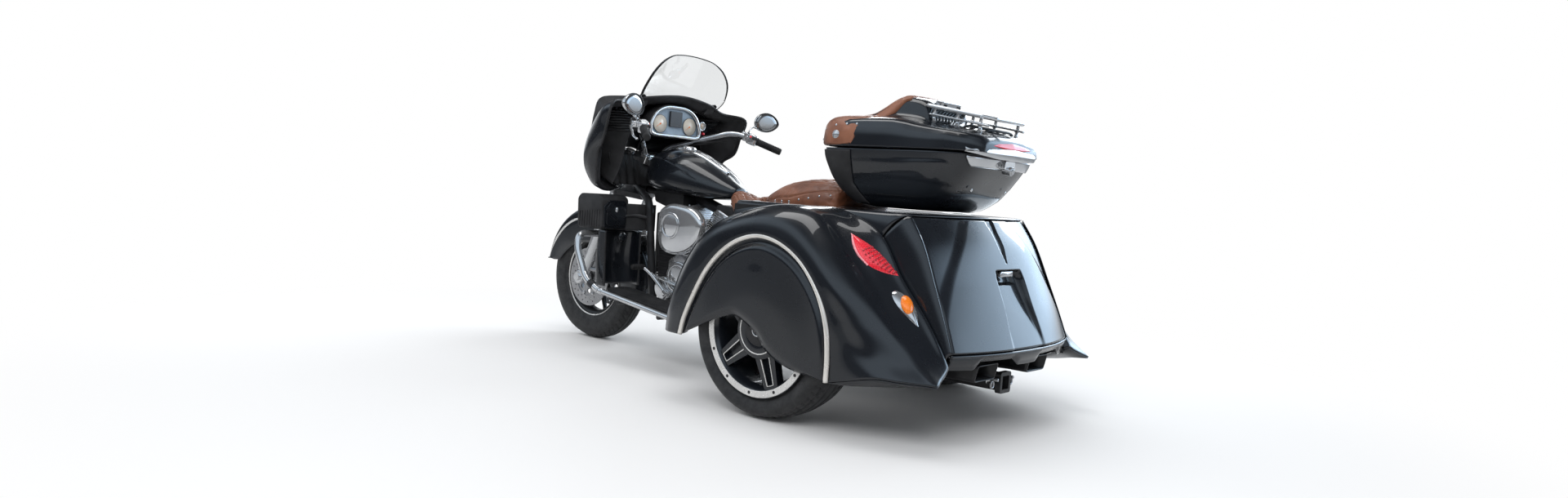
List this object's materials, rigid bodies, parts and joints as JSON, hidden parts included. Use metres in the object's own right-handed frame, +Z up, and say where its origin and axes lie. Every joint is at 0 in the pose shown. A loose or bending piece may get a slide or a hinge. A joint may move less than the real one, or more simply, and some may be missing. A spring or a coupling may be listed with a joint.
{
  "type": "motor tricycle",
  "caption": "Touring motor tricycle with a V-twin engine, fork-mounted fairing, covered rear wheels, rear trunk, top box and tan leather saddles.",
  "frame": {"origin": "centre of the footprint of the bounding box, on the ground", "axes": "+X forward, +Y to the rider's left, +Z up; wheels turn about Y"},
  "size_m": [2.83, 1.488, 1.4419],
  "materials": {
    "gloss_black": "gloss",
    "satin_black": "satin",
    "matte_black": "matte",
    "chrome": "polished",
    "cast_grey": "cast",
    "tyre_rubber": "matte",
    "rubber": "matte",
    "tan_leather": "satin",
    "clear_screen": "gloss",
    "red_lens": "gloss",
    "amber_lens": "gloss",
    "steel": "satin"
  },
  "bodies": {
    "chassis": {"frame": "satin_black", "engine_case": "cast_grey", "cylinders": "satin_black", "cylinder_heads": "chrome", "engine_covers": "chrome", "air_cleaner": "chrome", "exhaust": "satin_black", "fuel_tank": "gloss_black", "tank_console": "chrome", "rider_saddle": "tan_leather", "passenger_saddle": "tan_leather", "leg_shields": "gloss_black", "crash_bars": "chrome", "floorboards": "rubber", "foot_controls": "chrome", "rear_axle": "satin_black", "swingarm": "satin_black", "trunk_body": "gloss_black", "rear_fenders": "gloss_black", "wheel_skirts": "gloss_black", "fender_trims": "chrome", "tail_lamps": "red_lens", "turn_signals": "amber_lens", "rear_valance": "gloss_black", "hitch_receiver": "satin_black", "top_box": "gloss_black", "box_trim": "chrome"},
    "steering": {"fork_legs": "chrome", "fork_clamps": "cast_grey", "front_calipers": "cast_grey", "front_fender": "gloss_black", "front_axle": "chrome", "fairing": "gloss_black", "fairing_dash": "matte_black", "instruments": "chrome", "headlamp": "chrome", "windshield": "clear_screen", "handlebar": "chrome", "grips": "rubber", "mirrors": "chrome"},
    "front_wheel": {"front_tyre": "tyre_rubber", "front_rim": "satin_black", "front_brake_discs": "steel"},
    "rear_wheel_left": {"rear_tyre_left": "tyre_rubber", "rear_rim_left": "satin_black"},
    "rear_wheel_right": {"rear_tyre_right": "tyre_rubber", "rear_rim_right": "satin_black"},
    "trunk_hatch": {"trunk_door": "gloss_black", "door_latch": "chrome"},
    "box_cover": {"top_box_lid": "gloss_black", "backrest": "tan_leather", "luggage_rack": "chrome", "box_lamp": "red_lens"}
  },
  "joints": [
    {"name": "steer", "type": "hinge", "parent": "chassis", "child": "steering", "pos_m": [0.70997, 0, 0.93778], "axis": [-0.4305, 0, 0.9026], "range_deg": [-30, 30]},
    {"name": "front_wheel_spin", "type": "hinge", "parent": "steering", "child": "front_wheel", "pos_m": [1.04895, 0, 0.32], "axis": [0, 1, 0], "continuous": true},
    {"name": "rear_left_spin", "type": "hinge", "parent": "chassis", "child": "rear_wheel_left", "pos_m": [-0.68305, 0.598, 0.326], "axis": [0, 1, 0], "continuous": true},
    {"name": "rear_right_spin", "type": "hinge", "parent": "chassis", "child": "rear_wheel_right", "pos_m": [-0.68305, -0.598, 0.326], "axis": [0, 1, 0], "continuous": true},
    {"name": "trunk_door_drop", "type": "hinge", "parent": "chassis", "child": "trunk_hatch", "pos_m": [-1.41805, 0, 0.314], "axis": [0, -1, 0], "range_deg": [0, 95]},
    {"name": "lid_lift", "type": "hinge", "parent": "chassis", "child": "box_cover", "pos_m": [-0.58705, 0, 1.023], "axis": [0, 1, 0], "range_deg": [0, 50]}
  ]
}
